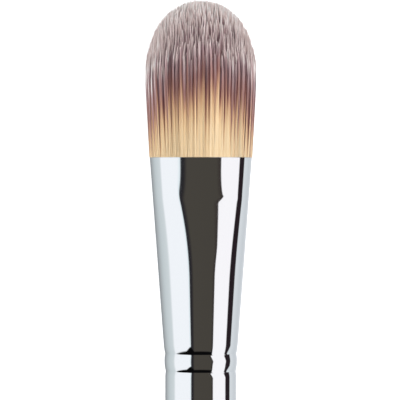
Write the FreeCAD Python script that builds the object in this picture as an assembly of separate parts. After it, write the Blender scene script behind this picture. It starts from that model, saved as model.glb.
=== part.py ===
import FreeCAD, Part
import math
import os

# A foundation brush, in millimetres.
# It is modelled upright: the ferrule's mouth is at height 0, the tuft stands above it and the
# handle hangs below it. At the end it is laid on its flat side, as it comes to rest.
# Widths are across the wide side of the tuft (X), and thicknesses across its narrow side (Y).
# Depths are measured down from the ferrule's mouth, and heights up from it.

# Ferrule: one drawn tube, round below, pressed to an oval above its press line
FERRULE_LENGTH = 46.0
FERRULE_WALL = 0.4
MOUTH_WIDTH = 17.9
MOUTH_THICKNESS = 14.4
MOUTH_FACE_ANGLE = 25.0
RIM_CHAMFER = 0.12
PRESS_LINE_DEPTH = 7.5
PRESS_LINE_THICKNESS = 13.4
PRESS_LINE_FACE_ANGLE = 17.0
ROUND_DEPTH = 21.0

# Two rolled grooves, with a bead of metal left between them
FIRST_GROOVE_DEPTH = 34.3
SECOND_GROOVE_DEPTH = 37.4
GROOVE_SINK = 0.25
GROOVE_SHOULDER = 1.9
GROOVE_FILLET = 0.15
CONE_END_DIAMETER = 12.74
BEAD_DIAMETER = 12.7
COLLAR_DIAMETER = 12.44

# Tuft of filaments, with its roots in the ferrule
TUFT_HEIGHT = 27.6
TUFT_WIDTH = 19.6
TUFT_THICKNESS = 15.6
TUFT_WIDEST_HEIGHT = 13.8
TUFT_FOOT_WIDTH = 18.1
TUFT_FOOT_HEIGHT = 0.8
TUFT_RIM_OVERHANG = 0.2
DOME_FULLNESS = 2.2
DOME_BANDS = 9
ROOT_DEPTH = 12.0

# Slits between the locks of the tuft, with two waves that make their places and depths uneven
LOCK_COUNT = 34
LOCK_UNEVENNESS = 0.35
PLACE_WAVE = 2.4
DEPTH_WAVE = 4.1
SLIT_DEPTH = 0.6
SLIT_WIDTH = 0.3

# Cured glue, which fills the ferrule from the press line and holds the ends of the roots
GLUE_BOTTOM_DEPTH = 18.0
GLUE_SKIN = 0.5

# Turned wooden handle, one piece with the tenon inside the ferrule
HANDLE_LENGTH = 108.4
TENON_DIAMETER = 11.6
TENON_LENGTH = 17.0
TENON_CHAMFER = 0.8
BELLY_DIAMETER = 14.8
BELLY_DISTANCE = 20.0
TAIL_DIAMETER = 6.4
TAIL_LENGTH = 20.0

# Clearance between curved faces that fit one in another
FIT_CLEARANCE = 0.05

AXIS = FreeCAD.Vector(0, 0, 1)
MOUTH_CENTRE = FreeCAD.Vector(0, 0, 0)


def point(radius, height):
    """A point of a profile that is turned about the brush's axis."""
    return FreeCAD.Vector(radius, 0, height)


def line(start, end):
    return Part.LineSegment(start, end).toShape()


def arc(start, middle, end):
    return Part.Arc(start, middle, end).toShape()


def chain(points):
    """Straight edges from each point to the next."""
    return [line(start, end) for start, end in zip(points, points[1:])]


def turned(edges):
    """The solid that a closed profile sweeps in a full turn about the brush's axis."""
    return Part.Face(Part.Wire(edges)).revolve(MOUTH_CENTRE, AXIS, 360)


def rings_at(solid, depths):
    """The circular edges of a turned solid at the given depths."""
    return [edge for edge in solid.Edges
            if edge.Closed and any(abs(edge.Vertexes[0].Z + depth) < 1e-6 for depth in depths)]


def slab(bottom, top):
    """A block wider than the brush, between two heights."""
    side = 2 * MOUTH_WIDTH
    return Part.makeBox(side, side, top - bottom, FreeCAD.Vector(-side / 2, -side / 2, bottom))


def oval(width, thickness, face_angle, height):
    """A closed oval of four arcs that meet with common tangents.

    The two flatter arcs face front and back, as far as the face has turned by face_angle. The
    two tighter arcs close the sides. An equal width and thickness give a circle.
    """
    turn = math.radians(face_angle)
    radius_difference = (width - thickness) / 2 / (math.sin(turn) + math.cos(turn) - 1)
    side_centre = radius_difference * math.sin(turn)
    face_centre = radius_difference * math.cos(turn)
    side_radius = width / 2 - side_centre
    joint_x = side_centre + side_radius * math.sin(turn)
    joint_y = (side_radius + radius_difference) * math.cos(turn) - face_centre
    corners = [(joint_x, -joint_y), (joint_x, joint_y), (-joint_x, joint_y), (-joint_x, -joint_y)]
    middles = [(width / 2, 0), (0, thickness / 2), (-width / 2, 0), (0, -thickness / 2)]
    starts = [FreeCAD.Vector(x, y, height) for x, y in corners]
    centres = [FreeCAD.Vector(x, y, height) for x, y in middles]
    ends = starts[1:] + starts[:1]
    return Part.Wire([arc(*points) for points in zip(starts, centres, ends)])


def tube_width(depth):
    """Width of the ferrule, which narrows evenly from its mouth to its first groove."""
    return MOUTH_WIDTH + (CONE_END_DIAMETER - MOUTH_WIDTH) * depth / FIRST_GROOVE_DEPTH


def pressed_section(depth, inset):
    """Outline of the ferrule between the mouth and the press line, drawn in by inset."""
    share = depth / PRESS_LINE_DEPTH
    thickness = MOUTH_THICKNESS + (PRESS_LINE_THICKNESS - MOUTH_THICKNESS) * share
    face_angle = MOUTH_FACE_ANGLE + (PRESS_LINE_FACE_ANGLE - MOUTH_FACE_ANGLE) * share
    return oval(tube_width(depth) - 2 * inset, thickness - 2 * inset, face_angle, -depth)


def rounding_section(share, inset):
    """Outline below the press line, where the flat fades out until the tube is round."""
    depth = PRESS_LINE_DEPTH + (ROUND_DEPTH - PRESS_LINE_DEPTH) * share
    flat = (tube_width(PRESS_LINE_DEPTH) - PRESS_LINE_THICKNESS) * (1 - share) ** 2
    width = tube_width(depth) - 2 * inset
    return oval(width, width - flat, PRESS_LINE_FACE_ANGLE, -depth)


def rim(inset, chamfer):
    """The edge of the mouth, eased by a chamfer."""
    lower = pressed_section(RIM_CHAMFER, inset)
    upper = oval(MOUTH_WIDTH - 2 * (inset + chamfer), MOUTH_THICKNESS - 2 * (inset + chamfer),
                 MOUTH_FACE_ANGLE, 0)
    return Part.makeLoft([upper, lower], True, True)


def rolled_part(inset):
    """The round lower part of the ferrule, with its two grooves and the bead."""
    groove_radius = CONE_END_DIAMETER / 2 - GROOVE_SINK - inset
    bead_radius = BEAD_DIAMETER / 2 - inset
    collar_radius = COLLAR_DIAMETER / 2 - inset
    shoulder_top = FIRST_GROOVE_DEPTH - GROOVE_SHOULDER
    shoulder_middle = FIRST_GROOVE_DEPTH - GROOVE_SHOULDER / 2
    shoulder_end = SECOND_GROOVE_DEPTH + GROOVE_SHOULDER
    bead_depth = (FIRST_GROOVE_DEPTH + SECOND_GROOVE_DEPTH) / 2
    top = point(tube_width(ROUND_DEPTH) / 2 - inset, -ROUND_DEPTH)
    cone_end = point(tube_width(shoulder_top) / 2 - inset, -shoulder_top)
    upper_shoulder = point(tube_width(shoulder_middle) / 2 - inset - GROOVE_SINK / 4,
                           -shoulder_middle)
    first_groove = point(groove_radius, -FIRST_GROOVE_DEPTH)
    bead = point(bead_radius, -bead_depth)
    second_groove = point(groove_radius, -SECOND_GROOVE_DEPTH)
    lower_shoulder = point(collar_radius - (collar_radius - groove_radius) / 4,
                           -SECOND_GROOVE_DEPTH - GROOVE_SHOULDER / 2)
    collar = point(collar_radius, -shoulder_end)
    end = point(collar_radius, -FERRULE_LENGTH)
    body = turned([
        line(point(0, -ROUND_DEPTH), top),
        line(top, cone_end),
        arc(cone_end, upper_shoulder, first_groove),
        arc(first_groove, bead, second_groove),
        arc(second_groove, lower_shoulder, collar),
        line(collar, end),
        line(end, point(0, -FERRULE_LENGTH)),
        line(point(0, -FERRULE_LENGTH), point(0, -ROUND_DEPTH)),
    ])
    return body.makeFillet(GROOVE_FILLET,
                           rings_at(body, (FIRST_GROOVE_DEPTH, SECOND_GROOVE_DEPTH)))


def ferrule_form(inset, chamfer=0):
    """The ferrule as a full solid, with its outside drawn in by inset."""
    pressed = Part.makeLoft([pressed_section(RIM_CHAMFER, inset),
                             pressed_section(PRESS_LINE_DEPTH, inset)], True, True)
    rounding = Part.makeLoft([rounding_section(share, inset) for share in (0, 0.5, 1)], True)
    return rim(inset, chamfer).fuse([pressed, rounding, rolled_part(inset)])


def root_end_form(clearance):
    """The ends of the roots that sit in the glue, or with a clearance the hollow for them."""
    form = ferrule_form(FERRULE_WALL + GLUE_SKIN - clearance)
    return form.common(slab(-ROOT_DEPTH, -PRESS_LINE_DEPTH))


def lock_slit(angle, depth):
    """A wedge that parts two locks of the round tuft, all the way up."""
    foot_radius = TUFT_FOOT_WIDTH / 2
    outward = FreeCAD.Vector(math.cos(angle), math.sin(angle), 0)
    sideways = outward.cross(AXIS)
    half_opening = SLIT_WIDTH / 2 * TUFT_WIDTH / 2 / depth
    inner = outward * (foot_radius - depth)
    left = inner + outward * TUFT_WIDTH / 2 + sideways * half_opening
    right = inner + outward * TUFT_WIDTH / 2 - sideways * half_opening
    wedge = Part.Face(Part.makePolygon([inner, left, right, inner]))
    return wedge.extrude(AXIS * TUFT_HEIGHT)


def lock_slits():
    """Slits all round the tuft, at uneven places and of uneven depth."""
    slits = []
    for number in range(LOCK_COUNT):
        place = number + LOCK_UNEVENNESS * math.sin(number * PLACE_WAVE)
        depth = SLIT_DEPTH * (1 + LOCK_UNEVENNESS * math.sin(number * DEPTH_WAVE))
        slits.append(lock_slit(2 * math.pi * place / LOCK_COUNT, depth))
    return slits


def tuft_head():
    """The tuft above the ferrule: turned round, parted into locks, then narrowed."""
    radius = TUFT_WIDTH / 2
    dome_height = TUFT_HEIGHT - TUFT_WIDEST_HEIGHT
    profile = [
        MOUTH_CENTRE,
        point(MOUTH_WIDTH / 2 - FERRULE_WALL + TUFT_RIM_OVERHANG, 0),
        point(TUFT_FOOT_WIDTH / 2, TUFT_FOOT_HEIGHT),
    ]
    for band in range(DOME_BANDS):
        angle = math.pi / 2 * band / DOME_BANDS
        profile.append(point(radius * math.cos(angle) ** (2 / DOME_FULLNESS),
                             TUFT_WIDEST_HEIGHT
                             + dome_height * math.sin(angle) ** (2 / DOME_FULLNESS)))
    profile += [point(0, TUFT_HEIGHT), MOUTH_CENTRE]
    narrowing = FreeCAD.Matrix()
    narrowing.scale(1, TUFT_THICKNESS / TUFT_WIDTH, 1)
    return turned(chain(profile)).cut(lock_slits()).transformGeometry(narrowing)


def make_bristle_tuft(bore):
    """The head, the roots inside the ferrule and their ends in the glue."""
    roots = bore.common(slab(-PRESS_LINE_DEPTH, 0))
    return tuft_head().fuse([roots, root_end_form(0)])


def make_glue_plug(bore):
    """The glue across the bore, hollow where the ends of the roots sit in it."""
    plug = bore.common(slab(-GLUE_BOTTOM_DEPTH, -PRESS_LINE_DEPTH))
    return plug.cut(root_end_form(FIT_CLEARANCE))


def make_tenon(bore):
    """The end of the handle that the ferrule's grooves are rolled into."""
    radius = TENON_DIAMETER / 2
    bottom = -FERRULE_LENGTH
    top = bottom + TENON_LENGTH
    plain = turned(chain([
        point(0, bottom),
        point(radius, bottom),
        point(radius, top - TENON_CHAMFER),
        point(radius - TENON_CHAMFER, top),
        point(0, top),
        point(0, bottom),
    ]))
    return plain.common(bore)


def make_handle(bore):
    """The turned grip, which swells behind the ferrule and tapers to a straight round tail.

    Between its belly and its tail the outline is an ogee: a convex arc that goes on from the
    belly, and a hollow arc that runs out into the tail.
    """
    collar_radius = COLLAR_DIAMETER / 2
    belly_radius = BELLY_DIAMETER / 2
    tail_radius = TAIL_DIAMETER / 2
    shoulder_z = -FERRULE_LENGTH
    belly_z = shoulder_z - BELLY_DISTANCE
    end_z = shoulder_z - HANDLE_LENGTH
    dome_z = end_z + tail_radius
    tail_z = dome_z + TAIL_LENGTH
    swell = belly_radius - collar_radius
    convex_radius = (BELLY_DISTANCE ** 2 + swell ** 2) / (2 * swell)
    ogee_angle = 2 * math.atan((belly_radius - tail_radius) / (belly_z - tail_z))
    hollow_radius = (belly_z - tail_z) / math.sin(ogee_angle) - convex_radius
    inflection = point(belly_radius - convex_radius * (1 - math.cos(ogee_angle)),
                       belly_z - convex_radius * math.sin(ogee_angle))
    hollow_middle = point(tail_radius + hollow_radius * (1 - math.cos(ogee_angle / 2)),
                          tail_z + hollow_radius * math.sin(ogee_angle / 2))
    diagonal = tail_radius * math.sqrt(0.5)
    grip = turned([
        line(point(0, shoulder_z), point(collar_radius, shoulder_z)),
        arc(point(collar_radius, shoulder_z), point(belly_radius, belly_z), inflection),
        arc(inflection, hollow_middle, point(tail_radius, tail_z)),
        line(point(tail_radius, tail_z), point(tail_radius, dome_z)),
        arc(point(tail_radius, dome_z), point(diagonal, dome_z - diagonal), point(0, end_z)),
        line(point(0, end_z), point(0, shoulder_z)),
    ])
    return grip.fuse(make_tenon(bore))


def resting_place():
    """Where the brush lies: on its flat side, on the tuft and on the handle's belly.

    The tuft points to +Y. The floor is at Z = 0, and the origin is on it under the middle.
    """
    tuft_drop = TUFT_THICKNESS / 2
    belly_drop = BELLY_DIAMETER / 2
    span = TUFT_WIDEST_HEIGHT + FERRULE_LENGTH + BELLY_DISTANCE
    tilt = math.atan2(tuft_drop - belly_drop, span)
    lift = tuft_drop * math.cos(tilt) - TUFT_WIDEST_HEIGHT * math.sin(tilt)
    middle = (TUFT_HEIGHT - FERRULE_LENGTH - HANDLE_LENGTH) / 2 * math.cos(tilt)
    turn = FreeCAD.Rotation(FreeCAD.Vector(1, 0, 0), math.degrees(tilt) - 90)
    return FreeCAD.Placement(FreeCAD.Vector(0, -middle, lift), turn)


def main():
    os.makedirs("parts", exist_ok=True)
    bore = ferrule_form(FERRULE_WALL + FIT_CLEARANCE)
    parts = {
        "bristle_tuft": make_bristle_tuft(bore),
        "ferrule": ferrule_form(0, RIM_CHAMFER).cut(ferrule_form(FERRULE_WALL)),
        "glue_plug": make_glue_plug(bore),
        "handle": make_handle(bore),
    }
    place = resting_place()
    for name, shape in parts.items():
        laid = shape.removeSplitter()
        laid.Placement = place
        laid.exportStep("parts/" + name + ".step")
        print(name, "valid", laid.isValid(), "solids", len(laid.Solids), "faces", len(laid.Faces),
              "volume", round(laid.Volume, 1))


main()
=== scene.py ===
import math
import random
from collections import namedtuple

import bmesh
import bpy
import numpy
from mathutils import Matrix, Vector


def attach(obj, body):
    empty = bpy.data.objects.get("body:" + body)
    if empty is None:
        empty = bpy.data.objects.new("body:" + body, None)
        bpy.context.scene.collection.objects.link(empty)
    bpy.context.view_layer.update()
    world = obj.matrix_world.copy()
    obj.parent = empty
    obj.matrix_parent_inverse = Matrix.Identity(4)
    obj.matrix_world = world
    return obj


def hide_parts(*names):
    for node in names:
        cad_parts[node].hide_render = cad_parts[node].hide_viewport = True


# A foundation brush that lies on its flat side on a pale floor, seen from above.
# Every piece is modelled upright in millimetres, with the ferrule's mouth at height 0 and the
# tuft above it, and is then laid down in metres as the brush comes to rest.
# Widths are across the wide side of the tuft (X), and thicknesses across its narrow side (Y).
# Depths are measured down from the ferrule's mouth, and heights up from it.
# Sizes are in millimetres and angles in degrees, where nothing else is said.

MM = 0.001
SAME_PLACE = 1e-4

# Ferrule, a cone pressed oval at its mouth, with a press line, two rolled grooves and a collar
FERRULE_LENGTH = 46.0
FERRULE_WALL = 0.4
MOUTH_WIDTH = 17.9
MOUTH_THICKNESS = 14.4
MOUTH_FACE_ANGLE = 25.0
RIM_ROUNDING = 0.03
RIM_RING_DEPTH = 0.08
PRESS_LINE_DEPTH = 7.15
PRESS_LINE_THICKNESS = 13.4
PRESS_LINE_FACE_ANGLE = 17.0
PRESS_SPREAD = 2.5
PRESS_LINE_HALF = 0.6
ROUND_DEPTH = 21.0
FIRST_GROOVE_DEPTH = 34.3
SECOND_GROOVE_DEPTH = 37.4
FIRST_GROOVE_SINK = 0.14
SECOND_GROOVE_SINK = 0.1
GROOVE_SHOULDER = 1.7
COLLAR_SHOULDER = 1.1
GROOVE_ROUNDING = 0.06
CONE_END_DIAMETER = 12.74
BEAD_SWELL = 0.17
COLLAR_DIAMETER = 12.44
FERRULE_STEPS = 240
CONE_RINGS = 40
BEAD_RINGS = 20
END_RINGS = 6
SHORT_RINGS = 12
BORE_RING_STEP = 4
PRESS_SAMPLES = 4

# Tuft
TUFT_HEIGHT = 27.6
TUFT_WIDTH = 19.6
TUFT_THICKNESS = 15.6
TUFT_WIDEST_HEIGHT = 13.8
TUFT_FOOT_WIDTH = 18.1
DOME_FULLNESS = 2.2

# Filaments. Places in the bundle, such as SHELL_START, are parts of its half-width.
FILAMENT_COUNT = 15200
FILAMENT_PIECES = 4
FILAMENT_DIAMETER = 0.13
FILAMENT_CORNERS = 3
FILAMENT_RINGS = 8
RING_CROWDING = 0.8
TAPER_LENGTH = 3.5
TIP_THICKNESS = 0.3
FILAMENT_START = 0.02
SHORT_FILAMENT = 12.0
SHELL_START = 0.8
FACE_SHARE = 0.89
SIDE_SHARE = 0.98
FILAMENT_UNEVENNESS = 0.15
PLACE_UNEVENNESS = 0.3
GOLDEN_ANGLE = math.pi * (3 - math.sqrt(5))
BUNDLE_FLATNESS = (TUFT_THICKNESS - FILAMENT_DIAMETER) / (TUFT_WIDTH - FILAMENT_DIAMETER)
SEED = 7

# Wisps, in which the filaments stick together at their tips. A wisp ends below the dome by
# its fall. Long wisps nearly reach it, and the middle of the tuft's thickness has more of them.
WISP_COUNT = 2600
WISP_RINGS = 29
WISP_LENGTH = 4.5
WISP_CLOSENESS = 0.65
WISP_BEND = 1.5
WISP_LEAN = 0.08
LEAN_BEND = 2
WISP_FALL = 4.5
CENTRE_FALL_SHARE = 0.25
OUTWARD_FALL_SHARE = 1.2
SIDE_FALL_LOSS = 0.35
LONG_WISP_FALL = 0.2
LONG_WISP_SHARE = 0.42
MIDDLE_WISP_SHARE = 0.3
MIDDLE_WISP_REACH = 0.4
FACE_WISP_FALL = 8

# Strands, which the outermost filaments form round the tuft, and which show as streaks
STRAND_COUNT = 176
STRAND_START = 0.75
STRAND_FULL = 0.9
STRAND_WEIGHT = 0.75
PAIR_START = 0.6

# Locks, in which the filaments stick together at their foot, with gaps that open above it
LOCK_COUNT = 60
LOCK_UNEVENNESS = 0.35
LOCK_WAVE = 2.4
LOCK_GAP = 0.1
FACE_GAP_SHARE = 0.6
SIDE_GAP_GROWTH = 0.8
LOCK_FOOT = 0.5

# Packed heart of the tuft
HEART_SHARE = 0.9
HEART_RISE = 0.68
HEART_STEPS = 96
HEART_SIDE_RINGS = 10
HEART_DOME_RINGS = 16

# Tones, from 0 for the darkest filaments to 1 for the palest: partly the filaments' own tones,
# partly painted light and shade
WISP_TONE = 0.58
# The pale and dark turns are partly the filaments' own tones and partly painted shade
WISP_CONTRAST = 0.3
# Painted shade for wisps that end deeper and for the tuft's faces, and painted light at its sides
FALL_PAINTED_SHADE = 0.2
SIDE_PAINTED_LIGHT = 0.28
FACE_PAINTED_SHADE = 0.28
TONE_SLANT = 0.13
WISP_TONE_UNEVENNESS = 0.15
STRAND_TONE = 0.5
# Outer strands are painted paler at the tuft's sides for light, and their dark turns are partly
# painted shade
SIDE_STRAND_PAINTED_LIGHT = 0.1
STRAND_CONTRAST = 0.09
STRAND_CONTRAST_UNEVENNESS = 0.14
SIDE_STRAND_CONTRAST = 0.2
OWN_TONE_SHARE = 0.15

# Dye. A drop dyes a filament farther down, which at lock borders is partly painted shade of the
# gaps between locks, and a loss wears its pale tip.
DYE_LENGTH = 14.4
DYE_UNEVENNESS = 0.65
FACE_DYE_SHARE = 0.6
SIDE_DYE_DROP = 2.6
RIGHT_DYE_DROP = 0.9
# The edge length and share paint light on the tips where they make the dome's edge, as a longer
# pale end
EDGE_PAINTED_LIGHT_LENGTH = 4.5
EDGE_LIGHT_SHARE = 0.8
OUTER_TIP_LOSS = 0.7
TIP_LOSS_LENGTH = 3
RISE_LENGTH = 2
FALL_EVENING = 0.9
FALL_MIDDLE = 1.4
BORDER_START = 0.32
# The border length runs the dye farther down at lock borders, partly as painted shade of the gaps
# between locks
BORDER_DYE_AND_SHADE_LENGTH = 9.0
DROP_START = 6.0
DROP_GROWTH = 5
NEAREST_DROP = 5
BORDER_STRENGTH = 0.28
THIRD_BORDER_STRENGTH = 0.45
SIDE_BORDER_STRENGTH = 0.4
BORDER_STRENGTH_UNEVENNESS = 0.15

# Handle
HANDLE_LENGTH = 108.4
BELLY_DIAMETER = 14.8
BELLY_DISTANCE = 20.0
TAIL_DIAMETER = 6.4
TAIL_LENGTH = 20.0
HANDLE_STEPS = 128
BELLY_RINGS = 48
HOLLOW_RINGS = 30
TAIL_RINGS = 5
TAIL_END_RINGS = 12

# Photograph
MM_PER_PIXEL = 0.175
PICTURE_SIDE = 400
AXIS_PIXEL = 200.9
MOUTH_PIXEL = 157.5
SIDE_ANGLE = 4.5
LENS = 300.0
SENSOR = 36.0

# Lamp and floor, with sizes in metres and the lamp's power in watts
LAMP_SIZE = 1.2
LAMP_HEIGHT = 1.2
LAMP_POWER = 14.0
FLOOR_HALF = 6.0
FLOOR_GLOW = 0.6
ROOM_BRIGHTNESS = 1.06

# Room, by angles across the brush, from its camera side to the right, and by angles along it,
# from straight across up to the tuft. An edge or a span gives where a change starts and ends.
BOX_LEAN = 14.5
BOX_LEAN_HEIGHT = 29.0
BOX_INNER_EDGE = (8.0, 24.0)
BOX_OUTER_EDGE = (90.0, 102.0)
OUTER_LEAN_SHARE = 0.3
FOOT_LEAN = 1.6
FOOT_SPAN = (-8.0, -2.0)
GAP_CLOSING = 18.0
GAP_SPAN = (-27.0, -9.0)
GAP_EDGE = (88.0, 98.0)
LEFT_END_SPAN = (-50.0, -31.5)
LEFT_END_HEIGHTS = (-20.0, -13.0)
CENTRE_END_SPAN = (-31.5, -22.0)
CENTRE_END_DROP = 9.0
END_SOFTNESS = 2.0
TOP_SPAN = (20.0, 23.0)

# Colours of the room by the angle across the brush
ROOM_LEFT = [(-180, "#93979A"), (-157, "#95999C"), (-145, "#A6ABAE"), (-133, "#B8BFC1"),
             (-120, "#C6CED0"), (-97.5, "#D3DADC")]
ROOM_FRONT = [(-90, "#F8FAFD"), (-37, "#F8FAFD"), (-31.8, "#E4EFF2"), (-30.8, "#26262B"),
              (-25, "#2C2A2C"), (-20, "#48443E"), (32, "#47433D"), (39.6, "#362F2E")]
ROOM_FOOT = [(-92, "#E4E9EC"), (-88, "#0A0A0B"), (39.6, "#0A0A0B")]
ROOM_TOP = [(-90, "#F8FAFD"), (-37, "#F8FAFD"), (-31.8, "#E4EFF2"), (-30.8, "#4A4848"),
            (-20, "#62605C"), (39.6, "#62605C")]
ROOM_RIGHT = [(40.4, "#FFFCFE"), (86.5, "#FFFCFE"), (87.5, "#241C20"), (107, "#2A2226"),
              (109, "#DCE0E3"), (140, "#CBD0D4"), (180, "#E2E6E9")]

# Sockets of a Mix node that mixes colours
MIX_FIRST = 6
MIX_SECOND = 7
MIX_RESULT = 2

# A wisp's tone holds painted light and shade besides its own tone, and its dye holds painted light
# at the dome's edge
Wisp = namedtuple("Wisp", "place fall lean tone dye")
Strand = namedtuple("Strand", "tone dye")


def resting_place():
    """The move from the upright model in millimetres to the lying brush in metres."""
    tuft_drop = TUFT_THICKNESS / 2
    span = TUFT_WIDEST_HEIGHT + FERRULE_LENGTH + BELLY_DISTANCE
    tilt = math.atan2(tuft_drop - BELLY_DIAMETER / 2, span)
    lift = tuft_drop * math.cos(tilt) - TUFT_WIDEST_HEIGHT * math.sin(tilt)
    middle = (TUFT_HEIGHT - FERRULE_LENGTH - HANDLE_LENGTH) / 2 * math.cos(tilt)
    turn = Matrix.Rotation(tilt - math.pi / 2, 4, "X")
    return Matrix.Scale(MM, 4) @ Matrix.Translation((0, -middle, lift)) @ turn


PLACE = resting_place()


def linear(hex_colour):
    """An sRGB hex colour as linear numbers."""
    parts = [int(hex_colour[at:at + 2], 16) / 255 for at in (1, 3, 5)]
    return [part / 12.92 if part <= 0.04045 else ((part + 0.055) / 1.055) ** 2.4
            for part in parts] + [1]


def add_node(tree, kind, inputs=None, **settings):
    """Adds a node with its settings, and gives its inputs their values or links."""
    made = tree.nodes.new(kind)
    for name, value in settings.items():
        setattr(made, name, value)
    for name, value in (inputs or {}).items():
        if isinstance(value, bpy.types.NodeSocket):
            tree.links.new(value, made.inputs[name])
        else:
            made.inputs[name].default_value = value
    return made


def set_stops(ramp, stops):
    """Gives a colour ramp its stops, a list of (place, hex colour)."""
    elements = ramp.color_ramp.elements
    while len(elements) < len(stops):
        elements.new(0.5)
    for element, (place, hex_colour) in zip(elements, stops):
        element.position = place
        element.color = linear(hex_colour)


def new_material(name):
    """An empty material and its shader, linked to the output."""
    material = bpy.data.materials.new(name)
    material.use_nodes = True
    tree = material.node_tree
    tree.nodes.clear()
    shader = add_node(tree, "ShaderNodeBsdfPrincipled")
    add_node(tree, "ShaderNodeOutputMaterial", {"Surface": shader.outputs["BSDF"]})
    return material, tree, shader


def finished_mesh(name, bm):
    """Makes a mesh of a bmesh, which isn't needed any more."""
    mesh = bpy.data.meshes.new(name)
    bm.to_mesh(mesh)
    bm.free()
    return mesh


def new_piece(mesh, material, node):
    """Lays a finished mesh down as the piece of its name, which stands for a node."""
    mesh.transform(PLACE)
    mesh.materials.append(material)
    mesh.shade_smooth()
    piece = bpy.data.objects.new(mesh.name, mesh)
    bpy.context.scene.collection.objects.link(piece)
    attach(piece, "root")
    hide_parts(node)


def spun(profile, steps):
    """A form turned about the brush's axis from its outline of (radius, height) points."""
    bm = bmesh.new()
    points = [bm.verts.new((radius, 0, height)) for radius, height in profile]
    edges = [bm.edges.new(pair) for pair in zip(points, points[1:])]
    bmesh.ops.spin(bm, geom=points + edges, cent=(0, 0, 0), axis=(0, 0, 1), steps=steps,
                   angle=2 * math.pi, use_merge=True)
    bmesh.ops.remove_doubles(bm, verts=bm.verts, dist=SAME_PLACE)
    bmesh.ops.recalc_face_normals(bm, faces=bm.faces)
    return bm


def between(start, end, count):
    """Evenly spaced numbers from start up to, but without, end."""
    return [start + (end - start) * step / count for step in range(count)]


def tube_width(depth):
    """Width of the ferrule, which narrows evenly from its mouth to its first groove."""
    return MOUTH_WIDTH + (CONE_END_DIAMETER - MOUTH_WIDTH) * depth / FIRST_GROOVE_DEPTH


def ferrule_outline():
    """The ferrule's outside from its mouth to its end, in its wide plane.

    A ring just below the mouth keeps the rim's rounding out of the reflections under it.
    """
    first_radius = CONE_END_DIAMETER / 2 - FIRST_GROOVE_SINK
    collar_radius = COLLAR_DIAMETER / 2
    second_radius = collar_radius - SECOND_GROOVE_SINK
    shoulder_top = FIRST_GROOVE_DEPTH - GROOVE_SHOULDER
    shoulder_end = SECOND_GROOVE_DEPTH + COLLAR_SHOULDER
    press_top = PRESS_LINE_DEPTH - PRESS_LINE_HALF
    press_end = PRESS_LINE_DEPTH + PRESS_LINE_HALF
    depths = ([0] + between(RIM_RING_DEPTH, press_top, SHORT_RINGS)
              + between(press_top, press_end, SHORT_RINGS)
              + between(press_end, ROUND_DEPTH, CONE_RINGS)
              + between(ROUND_DEPTH, shoulder_top, SHORT_RINGS))
    outline = [(tube_width(depth) / 2, -depth) for depth in depths]
    for share in between(0, 1, SHORT_RINGS):
        depth = shoulder_top + GROOVE_SHOULDER * share
        outline.append((tube_width(depth) / 2 - FIRST_GROOVE_SINK * share ** 2, -depth))
    for share in between(0, 1, BEAD_RINGS):
        depth = FIRST_GROOVE_DEPTH + (SECOND_GROOVE_DEPTH - FIRST_GROOVE_DEPTH) * share
        swell = BEAD_SWELL * (1 - (2 * share - 1) ** 2)
        outline.append((first_radius + (second_radius - first_radius) * share + swell, -depth))
    for share in between(0, 1, SHORT_RINGS):
        depth = SECOND_GROOVE_DEPTH + COLLAR_SHOULDER * share
        outline.append((collar_radius - SECOND_GROOVE_SINK * (1 - share) ** 2, -depth))
    outline += [(collar_radius, -depth)
                for depth in between(shoulder_end, FERRULE_LENGTH, END_RINGS)]
    return outline + [(collar_radius, -FERRULE_LENGTH)]


def pressed_oval(depth):
    """How much thinner than wide the ferrule is, and its face angle, with a sharp press line."""
    if depth <= PRESS_LINE_DEPTH:
        share = depth / PRESS_LINE_DEPTH
        thickness = MOUTH_THICKNESS + (PRESS_LINE_THICKNESS - MOUTH_THICKNESS) * share
        turn = (PRESS_LINE_FACE_ANGLE - MOUTH_FACE_ANGLE) * max(share, 0) ** PRESS_SPREAD
        return tube_width(depth) - thickness, MOUTH_FACE_ANGLE + turn
    share = min((depth - PRESS_LINE_DEPTH) / (ROUND_DEPTH - PRESS_LINE_DEPTH), 1)
    flat = (tube_width(PRESS_LINE_DEPTH) - PRESS_LINE_THICKNESS) * (1 - share) ** 2
    return flat, PRESS_LINE_FACE_ANGLE


def oval_size(depth):
    """Width, thickness and face angle of the ferrule, with its press line rounded off."""
    steps = [step / PRESS_SAMPLES for step in range(-PRESS_SAMPLES, PRESS_SAMPLES + 1)]
    ovals = [pressed_oval(depth + PRESS_LINE_HALF * step) for step in steps]
    flat, face_angle = (sum(values) / len(steps) for values in zip(*ovals))
    width = tube_width(depth)
    return width, width - flat, face_angle


def press(place):
    """Moves a point of the round tube to where the press leaves it."""
    depth = -place.z
    if depth >= ROUND_DEPTH:
        return
    width, thickness, face_angle = oval_size(depth)
    inset = width / 2 - math.hypot(place.x, place.y)
    turn = math.radians(face_angle)
    difference = (width - thickness) / 2 / (math.sin(turn) + math.cos(turn) - 1)
    normal_angle = math.atan2(abs(place.x), abs(place.y))
    side_radius = width / 2 - difference * math.sin(turn) - inset
    x = difference * math.sin(turn) + side_radius * math.sin(normal_angle)
    y = side_radius * math.cos(normal_angle)
    if normal_angle < turn:
        face_radius = side_radius + difference
        x = face_radius * math.sin(normal_angle)
        y = face_radius * math.cos(normal_angle) - difference * math.cos(turn)
    place.x = math.copysign(x, place.x)
    place.y = math.copysign(y, place.y)


def ring_edges(bm, depth):
    """The edges of the rings that lie at a depth."""
    return [edge for edge in bm.edges
            if all(abs(vert.co.z + depth) < SAME_PLACE for vert in edge.verts)]


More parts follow.
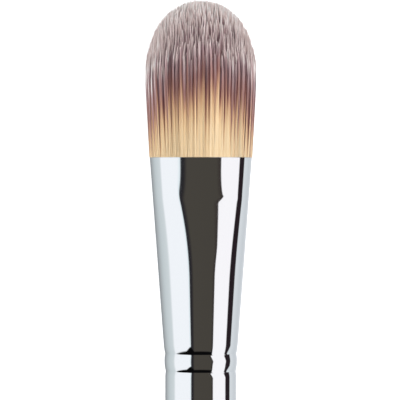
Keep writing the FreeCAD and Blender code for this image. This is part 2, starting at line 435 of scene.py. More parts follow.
def make_ferrule(material):
    """The drawn tube with its wall, pressed to an oval mouth, with two rolled grooves."""
    outer = ferrule_outline()
    inner = [(radius - FERRULE_WALL, height) for radius, height in reversed(outer)]
    kept = inner[::BORE_RING_STEP] + [inner[-1]]
    bm = spun(outer + kept + [outer[0]], FERRULE_STEPS)
    for depth in (FIRST_GROOVE_DEPTH, SECOND_GROOVE_DEPTH):
        rings = [edge for edge in ring_edges(bm, depth)
                 if math.hypot(*edge.verts[0].co.xy) > CONE_END_DIAMETER / 2 - FERRULE_WALL]
        bmesh.ops.bevel(bm, geom=rings, offset=GROOVE_ROUNDING, segments=4, profile=0.5,
                        affect="EDGES", material=-1)
    for vert in bm.verts:
        press(vert.co)
    rim = ring_edges(bm, 0)
    bmesh.ops.bevel(bm, geom=rim, offset=RIM_ROUNDING, segments=3, profile=0.5,
                    affect="EDGES", material=-1)
    bmesh.ops.recalc_face_normals(bm, faces=bm.faces)
    new_piece(finished_mesh("plated_ferrule", bm), material, "ferrule")


def handle_outline():
    """The grip's outline, from its flat top inside the ferrule's end to its domed tail."""
    collar_radius = COLLAR_DIAMETER / 2
    belly_radius = BELLY_DIAMETER / 2
    tail_radius = TAIL_DIAMETER / 2
    belly_z = -FERRULE_LENGTH - BELLY_DISTANCE
    end_z = -FERRULE_LENGTH - HANDLE_LENGTH
    dome_z = end_z + tail_radius
    tail_z = dome_z + TAIL_LENGTH
    swell = belly_radius - collar_radius
    convex_radius = (BELLY_DISTANCE ** 2 + swell ** 2) / (2 * swell)
    ogee_angle = 2 * math.atan((belly_radius - tail_radius) / (belly_z - tail_z))
    hollow_radius = (belly_z - tail_z) / math.sin(ogee_angle) - convex_radius
    start_angle = -math.asin(BELLY_DISTANCE / convex_radius)
    outline = [(0, -FERRULE_LENGTH)]
    for angle in between(start_angle, ogee_angle, BELLY_RINGS):
        outline.append((belly_radius - convex_radius * (1 - math.cos(angle)),
                        belly_z - convex_radius * math.sin(angle)))
    for angle in between(ogee_angle, 0, HOLLOW_RINGS):
        outline.append((tail_radius + hollow_radius * (1 - math.cos(angle)),
                        tail_z + hollow_radius * math.sin(angle)))
    outline += [(tail_radius, height) for height in between(tail_z, dome_z, TAIL_RINGS)]
    for angle in between(0, math.pi / 2, TAIL_END_RINGS):
        outline.append((tail_radius * math.cos(angle), dome_z - tail_radius * math.sin(angle)))
    return outline + [(0, end_z)]


def make_handle(material):
    """The turned grip, up to the shoulder that the ferrule ends on."""
    bm = spun(handle_outline(), HANDLE_STEPS)
    new_piece(finished_mesh("turned_handle", bm), material, "handle")


def dome_radius(height):
    """Half-width of the tuft's dome at a height, which starts at the tuft's widest place."""
    rise = (height - TUFT_WIDEST_HEIGHT) / (TUFT_HEIGHT - TUFT_WIDEST_HEIGHT)
    rest = 1 - min(max(rise, 0), 1) ** DOME_FULLNESS
    return TUFT_WIDTH / 2 * rest ** (1 / DOME_FULLNESS)


def side_radius(height):
    """Half-width of the bundle at a height, had the filaments no tips."""
    foot = (TUFT_FOOT_WIDTH - FILAMENT_DIAMETER) / 2
    widest = (TUFT_WIDTH - FILAMENT_DIAMETER) / 2
    return foot + (widest - foot) * min(height / TUFT_WIDEST_HEIGHT, 1)


def make_heart(material):
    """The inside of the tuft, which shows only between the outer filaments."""
    sunk = PRESS_LINE_DEPTH / 2
    outline = [(0, -sunk), (side_radius(0) * HEART_SHARE, -sunk)]
    outline += [(side_radius(height) * HEART_SHARE, height)
                for height in between(0, TUFT_WIDEST_HEIGHT, HEART_SIDE_RINGS)]
    rise = (TUFT_HEIGHT - TUFT_WIDEST_HEIGHT) * HEART_RISE
    for angle in between(0, math.pi / 2, HEART_DOME_RINGS):
        outline.append((side_radius(TUFT_WIDEST_HEIGHT) * HEART_SHARE * math.cos(angle),
                        TUFT_WIDEST_HEIGHT + rise * math.sin(angle)))
    outline.append((0, TUFT_WIDEST_HEIGHT + rise))
    bm = spun(outline, HEART_STEPS)
    bmesh.ops.scale(bm, vec=(1, TUFT_THICKNESS / TUFT_WIDTH, 1), verts=bm.verts)
    new_piece(finished_mesh("tuft_heart", bm), material, "bristle_tuft")


def sunflower(count, draw):
    """Points spread evenly over a disc of radius 1, each a little off its place."""
    places = []
    for number in range(count):
        radius = math.sqrt((number + draw.random()) / count)
        angle = number * GOLDEN_ANGLE + draw.gauss(0, PLACE_UNEVENNESS / math.sqrt(count))
        places.append((radius * math.cos(angle), radius * math.sin(angle)))
    return places


def lock_borders():
    """Where round the tuft one lock ends and the next begins, counted in locks."""
    borders = [number + LOCK_UNEVENNESS * math.sin(number * LOCK_WAVE)
               for number in range(LOCK_COUNT)]
    return borders + [borders[0] + LOCK_COUNT]


LOCK_BORDERS = lock_borders()


def lock_pull(x, y):
    """How far a filament is off its lock's middle, from -0.5 to 0.5, and the nearest border."""
    turn = math.atan2(y, x) / (2 * math.pi) * LOCK_COUNT % LOCK_COUNT
    if turn < LOCK_BORDERS[0]:
        turn += LOCK_COUNT
    for number, (low, high) in enumerate(zip(LOCK_BORDERS, LOCK_BORDERS[1:])):
        if low <= turn < high:
            pull = ((low + high) / 2 - turn) / (high - low)
            return pull, number if pull > 0 else (number + 1) % LOCK_COUNT
    return 0, 0


def lock_bend(root, pull, height):
    """How far a filament is bent aside at a height, to the middle of its lock."""
    gap = LOCK_GAP * (FACE_GAP_SHARE + SIDE_GAP_GROWTH * root[0] ** 2)
    rise = (height - LOCK_FOOT) / (TUFT_WIDEST_HEIGHT - LOCK_FOOT)
    return gap * 2 * pull * math.hypot(*root) * math.sin(math.pi * min(max(rise, 0), 1))


def filament_tip(root, wisp, draw):
    """Height of a filament's tip, which falls short of the dome over its root."""
    sideness = math.cos(math.atan2(root[1], root[0])) ** 2
    limit = FACE_SHARE + (SIDE_SHARE - FACE_SHARE) * sideness
    rest = 1 - min(math.hypot(*root), limit) ** DOME_FULLNESS
    rise = (TUFT_HEIGHT - TUFT_WIDEST_HEIGHT) * rest ** (1 / DOME_FULLNESS)
    fall = wisp.fall + abs(draw.gauss(0, FILAMENT_UNEVENNESS))
    return TUFT_WIDEST_HEIGHT + rise - fall


def filament_path(root, wisp, tip):
    """Points up one filament, with how thick it is and how far from its tip.

    Only the filaments of the outer shell reach down to the ferrule, because the heart hides
    the foot of the others.
    """
    pull, _ = lock_pull(*root)
    start = FILAMENT_START if math.hypot(*root) > SHELL_START else tip - SHORT_FILAMENT
    points = []
    for ring in range(FILAMENT_RINGS):
        share = ring / (FILAMENT_RINGS - 1)
        height = start + (tip - start) * share ** RING_CROWDING
        to_tip = tip - height
        nearness = max(0, 1 - to_tip / WISP_LENGTH)
        gathered = WISP_CLOSENESS * nearness ** WISP_BEND
        leaning = nearness ** LEAN_BEND
        spread = side_radius(height)
        x = (root[0] + (wisp.place[0] - root[0]) * gathered) * spread + wisp.lean[0] * leaning
        y = (root[1] + (wisp.place[1] - root[1]) * gathered) * spread + wisp.lean[1] * leaning
        angle = math.atan2(y, x) + lock_bend(root, pull, height) / spread
        radius = min(math.hypot(x, y), dome_radius(height))
        thick = min(1, TIP_THICKNESS + (1 - TIP_THICKNESS) * to_tip / TAPER_LENGTH)
        points.append((radius * math.cos(angle), radius * math.sin(angle) * BUNDLE_FLATNESS,
                       height, thick, to_tip))
    return points


def nearest_wisps(roots, places):
    """For each root, the number of the wisp that it is nearest to."""
    roots, places = numpy.array(roots), numpy.array(places)
    apart = ((roots[:, None, :] - places[None, :, :]) ** 2).sum(2)
    return apart.argmin(1)


def wisp_falls(places, draw):
    """How far each wisp ends below the dome: some reach it, and the others are uneven."""
    falls = []
    for x, y in places:
        middle = max(0, 1 - abs(y) / MIDDLE_WISP_REACH)
        if draw.random() < LONG_WISP_SHARE + MIDDLE_WISP_SHARE * middle:
            falls.append(LONG_WISP_FALL * (1 + FACE_WISP_FALL * y ** 4) * draw.random())
        else:
            fall = LONG_WISP_FALL + (WISP_FALL - LONG_WISP_FALL) * draw.random()
            outward = min(1, CENTRE_FALL_SHARE + OUTWARD_FALL_SHARE * math.hypot(x, y))
            falls.append(fall * outward * (1 - SIDE_FALL_LOSS * x ** 4))
    return falls


def ring_and_angle(x, y):
    """The ring of wisps that a place is in, counted outwards, and its angle round the tuft."""
    return int(math.hypot(x, y) * WISP_RINGS), math.atan2(y, x)


def wisp_tones(places, falls, draw):
    """How pale each wisp is: pale and dark by turns round the tuft, which is partly painted shade,
    painted darker for shade where it ends deeper and on the tuft's faces, and painted paler for
    light at its sides.
    """
    tones = [0] * len(places)
    order = sorted(range(len(places)), key=lambda number: ring_and_angle(*places[number]))
    for turn, number in enumerate(order):
        side = 1 if turn % 2 else -1
        x, y = places[number]
        # The fall and face terms are painted shade, and the side term is painted light
        tone = (WISP_TONE + WISP_CONTRAST * side - FALL_PAINTED_SHADE * falls[number] / WISP_FALL
                + SIDE_PAINTED_LIGHT * abs(x) ** 3 - FACE_PAINTED_SHADE * abs(y) ** 3 - TONE_SLANT * x)
        tones[number] = min(max(draw.gauss(tone, WISP_TONE_UNEVENNESS), 0), 1)
    return tones


def wisp_dyes_and_edge_light(places, draw):
    """How much higher than usual each wisp is dyed, with painted light at the dome's edge.

    The dye lies lower at the tuft's sides. In the middle of its thickness, where the tips make the
    edge of the dome, their pale ends are drawn longer as painted light through the tips.
    """
    dyes = []
    for x, y in places:
        # Painted light: a longer pale end on the tips at the dome's edge
        edge = (1 - x ** 2) ** 2 * max(0, 1 - abs(y) / EDGE_LIGHT_SHARE) ** 2
        dyes.append(draw.gauss(0, DYE_UNEVENNESS) - SIDE_DYE_DROP * x ** 2
                    - EDGE_PAINTED_LIGHT_LENGTH * edge)
    return dyes


def make_wisps(places, draw):
    """The wisps, with how far each falls short and leans, how pale it is and how it is dyed."""
    falls = wisp_falls(places, draw)
    leans = [(draw.gauss(0, WISP_LEAN), draw.gauss(0, WISP_LEAN)) for _ in places]
    tones = wisp_tones(places, falls, draw)
    dyes = wisp_dyes_and_edge_light(places, draw)
    return [Wisp(*facts) for facts in zip(places, falls, leans, tones, dyes)]


def border_dye_and_shade_strengths(draw):
    """How far the dye runs down at each lock's border, partly as painted shade of the gap between
    locks: most at the sides and at each third.
    """
    strengths = []
    for number in range(LOCK_COUNT):
        sideness = math.cos(2 * math.pi * number / LOCK_COUNT) ** 2
        plain = BORDER_STRENGTH if number % 3 else THIRD_BORDER_STRENGTH
        strengths.append(plain + SIDE_BORDER_STRENGTH * sideness
                         + BORDER_STRENGTH_UNEVENNESS * draw.random())
    return strengths


def make_strands(draw):
    """The outer strands, pale and dark by turns, which is partly painted shade, two by two at the
    tuft's sides and painted paler there for light.
    """
    strands = []
    for number in range(STRAND_COUNT):
        x = -math.cos(2 * math.pi * number / STRAND_COUNT)
        turn = number // 2 if abs(x) > PAIR_START else number
        side = 1 if turn % 2 else -1
        contrast = (STRAND_CONTRAST + STRAND_CONTRAST_UNEVENNESS * draw.random()
                    + SIDE_STRAND_CONTRAST * abs(x))
        # The side term is painted light, and the dark turns are partly painted shade
        tone = STRAND_TONE + SIDE_STRAND_PAINTED_LIGHT * abs(x) - TONE_SLANT * x + side * contrast
        share = FACE_DYE_SHARE + (1 - FACE_DYE_SHARE) * abs(x)
        strands.append(Strand(tone, draw.gauss(0, DYE_UNEVENNESS) * share))
    return strands


def outer_strand(x, y):
    """The number of the outer strand a filament lies in, and how much it takes its look."""
    number = int((math.atan2(y, x) / (2 * math.pi) + 0.5) * STRAND_COUNT) % STRAND_COUNT
    depth = (math.hypot(x, y) - STRAND_START) / (STRAND_FULL - STRAND_START)
    return number, STRAND_WEIGHT * min(max(depth, 0), 1)


def filament_tone(root, wisp, strands, draw):
    """How pale a filament is: as its wisp and strand, and a little by itself."""
    number, weight = outer_strand(*root)
    tone = wisp.tone + weight * (strands[number].tone - wisp.tone)
    return (1 - OWN_TONE_SHARE) * tone + OWN_TONE_SHARE * draw.random()


def filament_rise(root, wisp, strands, draw):
    """How much higher than usual a filament is dyed, with its wisp's painted light at the dome's
    edge.
    """
    number, weight = outer_strand(*root)
    return wisp.dye + weight * strands[number].dye + draw.gauss(0, DYE_UNEVENNESS / 2)


def filament_drop(root, wisp, strengths):
    """How much farther than usual the dye runs down a filament, which at lock borders is partly
    painted shade of the gaps.
    """
    pull, border = lock_pull(*root)
    edge = max(0, (abs(pull) - BORDER_START) / (0.5 - BORDER_START))
    # The border term is partly painted shade of the gaps between locks
    return (BORDER_DYE_AND_SHADE_LENGTH * edge * strengths[border] + RIGHT_DYE_DROP * max(0, root[0]) ** 2
            - FALL_EVENING * (wisp.fall - FALL_MIDDLE))


def dye_distances(root, path, rise, drop):
    """How far from the tip each point of a filament looks to be by its colour: its dye, with
    painted light at the dome's edge and painted shade at lock borders.
    """
    loss = OUTER_TIP_LOSS * max(0, 2 * math.hypot(*root) - 1)
    distances = []
    for *_, to_tip in path:
        near = max(0, 1 - to_tip / TIP_LOSS_LENGTH)
        lower = min(max((to_tip - DROP_START) / DROP_GROWTH, 0), 1)
        plain = max(0, to_tip + min(1, to_tip / RISE_LENGTH) * rise + near * loss)
        distances.append(max(plain - lower * drop, min(plain, NEAREST_DROP)))
    return distances


def make_filaments(material):
    """All filaments of the tuft, shared out over a few pieces."""
    draw = random.Random(SEED)
    roots = sunflower(FILAMENT_COUNT, draw)
    places = sunflower(WISP_COUNT, draw)
    draw.shuffle(roots)
    wisps = make_wisps(places, draw)
    strengths = border_dye_and_shade_strengths(draw)
    strands = make_strands(draw)
    nearest = nearest_wisps(roots, places)
    share = FILAMENT_COUNT // FILAMENT_PIECES
    for piece in range(FILAMENT_PIECES):
        paths, tones, distances = [], [], []
        for number in range(piece * share, (piece + 1) * share):
            root = roots[number]
            wisp = wisps[nearest[number]]
            path = filament_path(root, wisp, filament_tip(root, wisp, draw))
            tone = filament_tone(root, wisp, strands, draw)
            rise = filament_rise(root, wisp, strands, draw)
            drop = filament_drop(root, wisp, strengths)
            paths.append(path)
            tones += [tone] * len(path)
            distances += dye_distances(root, path, rise, drop)
        add_filaments("filaments_" + str(piece + 1), paths, tones, distances, material)


def rod_section(name):
    """The section of a filament's rod: a regular outline with a few corners, of radius 1."""
    section = bpy.data.curves.new(name, "CURVE")
    section.dimensions = "3D"
    outline = section.splines.new("POLY")
    outline.points.add(FILAMENT_CORNERS - 1)
    for corner, place in enumerate(outline.points):
        angle = 2 * math.pi * corner / FILAMENT_CORNERS
        place.co = (math.cos(angle), math.sin(angle), 0, 1)
    outline.use_cyclic_u = True
    return bpy.data.objects.new(name, section)


def rods(name, paths):
    """One mesh of thin tapered rods along the paths."""
    section = rod_section(name + "_section")
    curve = bpy.data.curves.new(name, "CURVE")
    curve.dimensions = "3D"
    curve.bevel_mode = "OBJECT"
    curve.bevel_object = section
    curve.use_fill_caps = False
    for path in paths:
        spline = curve.splines.new("POLY")
        spline.points.add(len(path) - 1)
        spline.points.foreach_set("co", [number for x, y, z, *_ in path
                                         for number in (x, y, z, 1)])
        spline.points.foreach_set("radius", [thick * FILAMENT_DIAMETER / 2
                                             for *_, thick, _ in path])
    bundle = bpy.data.objects.new(name + "_paths", curve)
    bpy.context.scene.collection.objects.link(bundle)
    bpy.context.scene.collection.objects.link(section)
    mesh = bpy.data.meshes.new_from_object(bundle.evaluated_get(
        bpy.context.evaluated_depsgraph_get()))
    bpy.data.objects.remove(bundle)
    bpy.data.objects.remove(section)
    mesh.name = name
    mesh.materials.clear()
    return mesh


def add_filaments(name, paths, tones, distances, material):
    """A piece of filaments, which keeps each point's tone and distance from the tip by its colour,
    painted light and shade included.
    """
    mesh = rods(name, paths)
    for attribute, values in (("from_tip", distances), ("shade", tones)):
        at_corners = [value for value in values for _ in range(FILAMENT_CORNERS)]
        mesh.attributes.new(attribute, "FLOAT", "POINT").data.foreach_set("value", at_corners)
    new_piece(mesh, material, "bristle_tuft")


def plated_chrome():
    """Bright nickel and chrome plating on drawn brass: a cool, nearly perfect mirror.

    A faint haze of patches some millimetres across is what polishing leaves on it.
    """
    haze_size = 4 * MM
    material, tree, shader = new_material("bright_chrome_plating")
    shader.inputs["Base Color"].default_value = linear("#F0F2F4")
    shader.inputs["Metallic"].default_value = 1
    place = add_node(tree, "ShaderNodeTexCoord")
    haze = add_node(tree, "ShaderNodeTexNoise",
                    {"Vector": place.outputs["Object"], "Scale": 1 / haze_size, "Detail": 3})
    rough = add_node(tree, "ShaderNodeMapRange",
                     {"Value": haze.outputs["Fac"], "To Min": 0.03, "To Max": 0.08})
    tree.links.new(rough.outputs["Result"], shader.inputs["Roughness"])
    return material


def dyed_filament_with_painted_light_and_shade():
    """Drawn nylon filaments, gold at the foot, dyed brown above it, with bleached tips.

    Each filament's tone lies between a pale and a dark run of the same colours: partly how well
    the dye took on its wisp, and partly painted light and shade.
    """
    material, tree, shader = new_material("three_colour_nylon_with_painted_light_and_shade")
    distance = add_node(tree, "ShaderNodeAttribute", attribute_name="from_tip")
    share = add_node(tree, "ShaderNodeMapRange",
                     {"Value": distance.outputs["Fac"], "From Max": DYE_LENGTH})
    pale = add_node(tree, "ShaderNodeValToRGB", {"Fac": share.outputs["Result"]})
    set_stops(pale, [(0.0, "#FFFCFA"), (0.04, "#F8EAE7"), (0.12, "#CDAFB2"), (0.23, "#C9A8A8"),
                     (0.32, "#BF9490"), (0.43, "#C09388"), (0.55, "#DDB194"), (0.66, "#EFCEA5"),
                     (0.82, "#FAE0B6"), (1.0, "#FEE8C2")])
    # The dark run is partly painted shade, of the gaps and deeper filaments between the pale ones
    dark = add_node(tree, "ShaderNodeValToRGB", {"Fac": share.outputs["Result"]})
    set_stops(dark, [(0.0, "#F8EBE8"), (0.035, "#D4BEBA"), (0.09, "#7C6165"), (0.16, "#694E52"),
                     (0.23, "#6B4E51"), (0.32, "#704846"), (0.42, "#7C4D47"), (0.54, "#B2826A"),
                     (0.65, "#DAAF86"), (0.82, "#F4D4A7"), (1.0, "#FBE2B8")])
    shade = add_node(tree, "ShaderNodeAttribute", attribute_name="shade")
    side = add_node(tree, "ShaderNodeMapRange",
                    {"Value": shade.outputs["Fac"], "From Min": 0.3, "From Max": 0.7})
    blend = add_node(tree, "ShaderNodeMix",
                     {"Factor": side.outputs["Result"], MIX_FIRST: dark.outputs["Color"],
                      MIX_SECOND: pale.outputs["Color"]}, data_type="RGBA")
    tree.links.new(blend.outputs[MIX_RESULT], shader.inputs["Base Color"])
    shader.inputs["Roughness"].default_value = 0.38
    return material


def packed_filament_painted_shade():
    """The same filaments packed close inside the tuft, painted darker than the outer ones for the
    shade where little light gets in.

    Its streaks are drawn 0.4 mm wide, which is as coarse as they need to be to show.
    """
    streak_width = 0.4 * MM
    streak_length = 6 * MM
    material, tree, shader = new_material("packed_nylon_painted_shade")
    place = add_node(tree, "ShaderNodeTexCoord")
    axes = add_node(tree, "ShaderNodeSeparateXYZ", {"Vector": place.outputs["Object"]})
    mouth = (PLACE @ Vector((0, 0, 0))).y
    rise = add_node(tree, "ShaderNodeMapRange",
                    {"Value": axes.outputs["Y"], "From Min": mouth,
                     "From Max": mouth + TUFT_HEIGHT * MM})
    ramp = add_node(tree, "ShaderNodeValToRGB", {"Fac": rise.outputs["Result"]})
    # Darker than the outer filaments' colours: painted shade inside the tuft
    set_stops(ramp, [(0.15, "#DDA972"), (0.33, "#A06A5C"), (0.45, "#74505A"), (0.65, "#7A6C72"),
                     (1.0, "#8A7C82")])
    streaks = add_node(tree, "ShaderNodeMapping",
                       {"Vector": place.outputs["Object"],
                        "Scale": (1 / streak_width, 1 / streak_length, 1 / streak_width)})
    noise = add_node(tree, "ShaderNodeTexNoise",
                     {"Vector": streaks.outputs["Vector"], "Scale": 1.0, "Detail": 2})
    level = add_node(tree, "ShaderNodeMapRange",
                     {"Value": noise.outputs["Fac"], "From Min": 0.3, "From Max": 0.7,
                      "To Min": 0.55, "To Max": 1.0})
    tint = add_node(tree, "ShaderNodeMix",
                    {"Factor": 1.0, MIX_FIRST: ramp.outputs["Color"],
                     MIX_SECOND: level.outputs["Result"]}, data_type="RGBA",
                    blend_type="MULTIPLY")
    tree.links.new(tint.outputs[MIX_RESULT], shader.inputs["Base Color"])
    shader.inputs["Roughness"].default_value = 0.7
    return material


def black_lacquer():
    """Several coats of black lacquer on turned wood: deep gloss with a faint grain beneath."""
    grain_width = 0.8 * MM
    grain_length = 16 * MM
    grain_depth = 0.02 * MM
    material, tree, shader = new_material("black_lacquer_on_wood")
    place = add_node(tree, "ShaderNodeTexCoord")
    along = add_node(tree, "ShaderNodeMapping",
                     {"Vector": place.outputs["Object"],
                      "Scale": (1 / grain_width, 1 / grain_length, 1 / grain_width)})
    grain = add_node(tree, "ShaderNodeTexNoise",
                     {"Vector": along.outputs["Vector"], "Scale": 1.0, "Detail": 4})
    ramp = add_node(tree, "ShaderNodeValToRGB", {"Fac": grain.outputs["Fac"]})
    set_stops(ramp, [(0.3, "#121112"), (0.7, "#1B1919")])
    tree.links.new(ramp.outputs["Color"], shader.inputs["Base Color"])
    bump = add_node(tree, "ShaderNodeBump",
                    {"Height": grain.outputs["Fac"], "Strength": 0.05,
                     "Distance": grain_depth})
    tree.links.new(bump.outputs["Normal"], shader.inputs["Normal"])
    shader.inputs["Roughness"].default_value = 0.25
    shader.inputs["Coat Weight"].default_value = 1.0
    shader.inputs["Coat Roughness"].default_value = 0.04
    return material


def cured_glue():
    """Clear two-part adhesive with an amber tint, glossy where it set against the metal."""
    cloud_size = 3 * MM
    material, tree, shader = new_material("cured_amber_adhesive")
    place = add_node(tree, "ShaderNodeTexCoord")
    cloud = add_node(tree, "ShaderNodeTexNoise",
                     {"Vector": place.outputs["Object"], "Scale": 1 / cloud_size, "Detail": 2})
    ramp = add_node(tree, "ShaderNodeValToRGB", {"Fac": cloud.outputs["Fac"]})
    set_stops(ramp, [(0.3, "#CDB27A"), (0.7, "#DEC794")])
    tree.links.new(ramp.outputs["Color"], shader.inputs["Base Color"])
    shader.inputs["Roughness"].default_value = 0.2
    shader.inputs["IOR"].default_value = 1.55
    return material


def seen_directly(tree):
    """1 on the rays that the camera sees, straight or through something clear, and 0 on others."""
    path = add_node(tree, "ShaderNodeLightPath")
    seen = add_node(tree, "ShaderNodeMath", {0: path.outputs["Is Camera Ray"],
                                             1: path.outputs["Is Transmission Ray"]},
                    operation="MAXIMUM")
    return seen.outputs[0]


def white_paper():
    """Smooth uncoated white paper, which glows enough where it is seen to look plain white."""
    material, tree, shader = new_material("white_paper_sheet")
    shader.inputs["Base Color"].default_value = linear("#F2F2F2")
    shader.inputs["Roughness"].default_value = 0.9
    shader.inputs["Emission Color"].default_value = linear("#FFFFFF")
    glow = add_node(tree, "ShaderNodeMath", {0: seen_directly(tree), 1: FLOOR_GLOW},
                    operation="MULTIPLY")
    tree.links.new(glow.outputs[0], shader.inputs["Emission Strength"])
    return material


def pale_floor():
    """A plain pale sheet that fades into the background and keeps the brush's shadow."""
    bm = bmesh.new()
    bmesh.ops.create_grid(bm, x_segments=1, y_segments=1, size=FLOOR_HALF)
    mesh = finished_mesh("floor", bm)
    mesh.materials.append(white_paper())
    floor = bpy.data.objects.new("floor", mesh)
    bpy.context.scene.collection.objects.link(floor)
    floor.visible_glossy = False


def ray_angles(tree):
    """A ray's angles in degrees: across the brush, from its camera side, and along it."""
    place = add_node(tree, "ShaderNodeTexCoord")
    axes = add_node(tree, "ShaderNodeSeparateXYZ", {"Vector": place.outputs["Generated"]})
    turn = add_node(tree, "ShaderNodeMath", {0: axes.outputs["X"], 1: axes.outputs["Z"]},
                    operation="ARCTAN2")
    turn_degrees = add_node(tree, "ShaderNodeMath", {0: turn.outputs[0]}, operation="DEGREES")
    across = add_node(tree, "ShaderNodeMath", {0: turn_degrees.outputs[0], 1: SIDE_ANGLE},
                      operation="ADD")
    slope = add_node(tree, "ShaderNodeMath", {0: axes.outputs["Y"]}, operation="ARCSINE")
    along = add_node(tree, "ShaderNodeMath", {0: slope.outputs[0]}, operation="DEGREES")
    return across.outputs[0], along.outputs[0]


def leaning_box(tree, across, along):
    """The angle across the brush, moved on where the right box leans in.

    It leans in over the tuft, more the higher it reaches, and a little at its foot.
    """
    lean = add_node(tree, "ShaderNodeMapRange",
                    {"Value": along, "From Min": 0.0, "From Max": BOX_LEAN_HEIGHT,
                     "To Max": BOX_LEAN})
    inner = add_node(tree, "ShaderNodeMapRange",
                     {"Value": across, "From Min": BOX_INNER_EDGE[0],
                      "From Max": BOX_INNER_EDGE[1]})
    outer = add_node(tree, "ShaderNodeMapRange",
                     {"Value": across, "From Min": BOX_OUTER_EDGE[0],
                      "From Max": BOX_OUTER_EDGE[1], "To Min": 1.0, "To Max": OUTER_LEAN_SHARE})
    share = add_node(tree, "ShaderNodeMath",
                     {0: inner.outputs["Result"], 1: outer.outputs["Result"]},
                     operation="MULTIPLY")
    foot = add_node(tree, "ShaderNodeMapRange",
                    {"Value": along, "From Min": FOOT_SPAN[0], "From Max": FOOT_SPAN[1],
                     "To Min": FOOT_LEAN, "To Max": 0.0})
    moved = add_node(tree, "ShaderNodeMath",
                     {0: foot.outputs["Result"], 1: inner.outputs["Result"], 2: across},
                     operation="MULTIPLY_ADD")
    leant = add_node(tree, "ShaderNodeMath",
                     {0: lean.outputs["Result"], 1: share.outputs[0], 2: moved.outputs[0]},
                     operation="MULTIPLY_ADD")
    return leant.outputs[0]


def closing_gap(tree, across, along, leant):
    """The leant angle, moved on so that the dark gap right of the box closes at its foot."""
    closing = add_node(tree, "ShaderNodeMapRange",
                       {"Value": along, "From Min": GAP_SPAN[0], "From Max": GAP_SPAN[1],
                        "To Min": GAP_CLOSING, "To Max": 0.0})
    edge = add_node(tree, "ShaderNodeMapRange",
                    {"Value": across, "From Min": GAP_EDGE[0], "From Max": GAP_EDGE[1]})
    closed = add_node(tree, "ShaderNodeMath",
                      {0: closing.outputs["Result"], 1: edge.outputs["Result"], 2: leant},
                      operation="MULTIPLY_ADD")
    return closed.outputs[0]


def room_colours(tree, angle):
    """The room's colours at an angle across the brush: in front, at its foot and at its top."""
    share = add_node(tree, "ShaderNodeMapRange",
                     {"Value": angle, "From Min": -180.0, "From Max": 180.0})
    colours = []
    for middle in (ROOM_FRONT, ROOM_FOOT, ROOM_TOP):
        room = add_node(tree, "ShaderNodeValToRGB", {"Fac": share.outputs["Result"]})
        set_stops(room, [((degrees + 180) / 360, colour)
                         for degrees, colour in ROOM_LEFT + middle + ROOM_RIGHT])
        colours.append(room.outputs["Color"])
    return colours


def below_boxes(tree, across, along):
    """1 at the room's foot, where the left box and the camera side have ended, and 0 above."""
    left = add_node(tree, "ShaderNodeMapRange",
                    {"Value": across, "From Min": LEFT_END_SPAN[0],
                     "From Max": LEFT_END_SPAN[1], "To Min": LEFT_END_HEIGHTS[0],
                     "To Max": LEFT_END_HEIGHTS[1]}, interpolation_type="SMOOTHSTEP")
    centre = add_node(tree, "ShaderNodeMapRange",
                      {"Value": across, "From Min": CENTRE_END_SPAN[0],
                       "From Max": CENTRE_END_SPAN[1], "To Max": -CENTRE_END_DROP})
    end = add_node(tree, "ShaderNodeMath",
                   {0: left.outputs["Result"], 1: centre.outputs["Result"]}, operation="ADD")
    below = add_node(tree, "ShaderNodeMath", {0: end.outputs[0], 1: along},
                     operation="SUBTRACT")
    low = add_node(tree, "ShaderNodeMapRange",
                   {"Value": below.outputs[0], "From Max": END_SOFTNESS})
    return low.outputs["Result"]


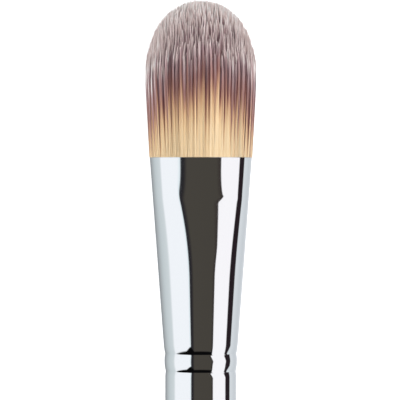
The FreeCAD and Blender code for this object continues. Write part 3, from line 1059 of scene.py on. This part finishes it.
def studio():
    """The room round the brush, as its metal shows it.

    Across the brush, a soft box stands on either side of the dark camera side. The background
    starts below them, behind a dark gap on the right, and is greyer on the left. Along it, the
    left box ends above the handle, and the right one leans in towards the camera over the tuft.
    """
    world = bpy.data.worlds.new("studio")
    bpy.context.scene.world = world
    world.use_nodes = True
    tree = world.node_tree
    tree.nodes.clear()
    across, along = ray_angles(tree)
    leant = leaning_box(tree, across, along)
    front, foot, top = room_colours(tree, closing_gap(tree, across, along, leant))
    high = add_node(tree, "ShaderNodeMapRange",
                    {"Value": along, "From Min": TOP_SPAN[0], "From Max": TOP_SPAN[1]})
    upper = add_node(tree, "ShaderNodeMix",
                     {"Factor": high.outputs["Result"], MIX_FIRST: front, MIX_SECOND: top},
                     data_type="RGBA")
    whole = add_node(tree, "ShaderNodeMix",
                     {"Factor": below_boxes(tree, across, along),
                      MIX_FIRST: upper.outputs[MIX_RESULT], MIX_SECOND: foot},
                     data_type="RGBA")
    seen = add_node(tree, "ShaderNodeMix",
                    {"Factor": seen_directly(tree), MIX_FIRST: whole.outputs[MIX_RESULT],
                     MIX_SECOND: linear("#FFFFFF")}, data_type="RGBA")
    sky = add_node(tree, "ShaderNodeBackground",
                   {"Color": seen.outputs[MIX_RESULT], "Strength": ROOM_BRIGHTNESS})
    add_node(tree, "ShaderNodeOutputWorld", {"Surface": sky.outputs["Background"]})


def front_light():
    """A broad soft lamp above the brush, which isn't seen in the metal."""
    lamp = bpy.data.lights.new("front_lamp", "AREA")
    lamp.shape = "DISK"
    lamp.size = LAMP_SIZE
    lamp.energy = LAMP_POWER
    holder = bpy.data.objects.new("front_lamp", lamp)
    bpy.context.scene.collection.objects.link(holder)
    holder.location = (0, 0, LAMP_HEIGHT)
    holder.visible_glossy = False


def set_camera():
    """Looks down on the brush, framed as the photograph is, a little from its left side."""
    centre = PICTURE_SIDE / 2
    mouth = PLACE @ Vector((0, 0, 0))
    target = Vector((0, mouth.y + (MOUTH_PIXEL - centre) * MM_PER_PIXEL * MM, mouth.z))
    camera = bpy.data.cameras.new("camera")
    camera.lens = LENS
    camera.sensor_width = SENSOR
    holder = bpy.data.objects.new("camera", camera)
    bpy.context.scene.collection.objects.link(holder)
    aim = Matrix.Rotation(math.radians(-SIDE_ANGLE), 4, "Y")
    place = Vector(((centre - AXIS_PIXEL) * MM_PER_PIXEL * MM, 0,
                    MM_PER_PIXEL * PICTURE_SIDE * MM * LENS / SENSOR))
    holder.matrix_world = Matrix.Translation(target) @ aim @ Matrix.Translation(place)
    bpy.context.scene.camera = holder


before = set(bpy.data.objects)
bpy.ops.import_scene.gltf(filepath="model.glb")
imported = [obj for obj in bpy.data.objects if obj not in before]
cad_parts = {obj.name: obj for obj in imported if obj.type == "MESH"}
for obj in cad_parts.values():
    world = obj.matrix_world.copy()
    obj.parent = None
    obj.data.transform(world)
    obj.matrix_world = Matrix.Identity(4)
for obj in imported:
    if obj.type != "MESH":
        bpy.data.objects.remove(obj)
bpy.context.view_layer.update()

bpy.context.scene.view_settings.view_transform = "Standard"
set_camera()
studio()
front_light()
pale_floor()

make_ferrule(plated_chrome())
make_handle(black_lacquer())
make_heart(packed_filament_painted_shade())
make_filaments(dyed_filament_with_painted_light_and_shade())
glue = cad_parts["glue_plug"]
glue.data.materials.clear()
glue.data.materials.append(cured_glue())
